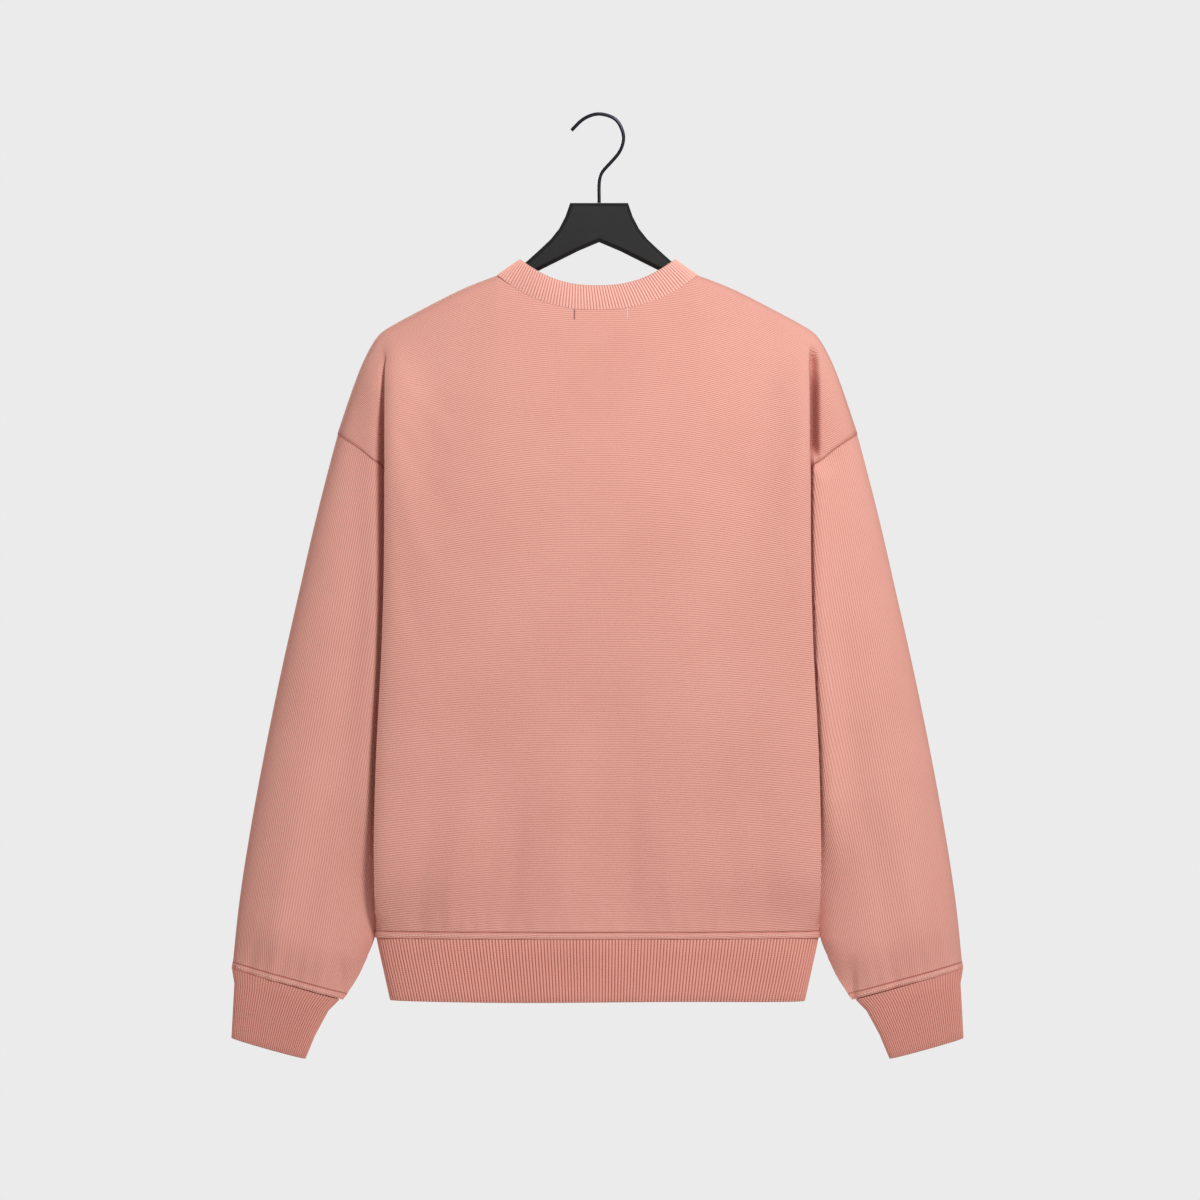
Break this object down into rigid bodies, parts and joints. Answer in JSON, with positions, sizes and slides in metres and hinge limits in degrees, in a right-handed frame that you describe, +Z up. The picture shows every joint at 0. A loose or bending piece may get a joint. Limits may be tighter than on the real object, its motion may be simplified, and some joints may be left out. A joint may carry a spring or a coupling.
{
  "type": "crewneck sweatshirt on a hanger",
  "caption": "Crewneck sweatshirt with ribbed neckband, cuffs and hem, hung flat on a hanger with a wire hook.",
  "frame": {"origin": "underside of the hook's top, where a rail carries the hanger", "axes": "+Z up; -Y out of the garment's back, which the picture shows; +X towards the wearer's right sleeve"},
  "size_m": [0.697, 0.08, 0.8987],
  "materials": {
    "body_knit": "matt cross-grain knit, pale salmon pink",
    "sleeve_knit": "matt knit with its lines along the sleeve, pale salmon pink",
    "rib_knit": "matt one by one rib, pale salmon pink",
    "hanger_plastic": "matt black",
    "hook_steel": "polished dark steel"
  },
  "bodies": {
    "root": {"back_panel": "body_knit", "front_panel": "body_knit", "sleeve_left": "sleeve_knit", "sleeve_right": "sleeve_knit", "cuff_left": "rib_knit", "cuff_right": "rib_knit", "hem_band": "rib_knit", "neckband": "rib_knit", "hanger": "hanger_plastic", "hook": "hook_steel"}
  },
  "joints": []
}
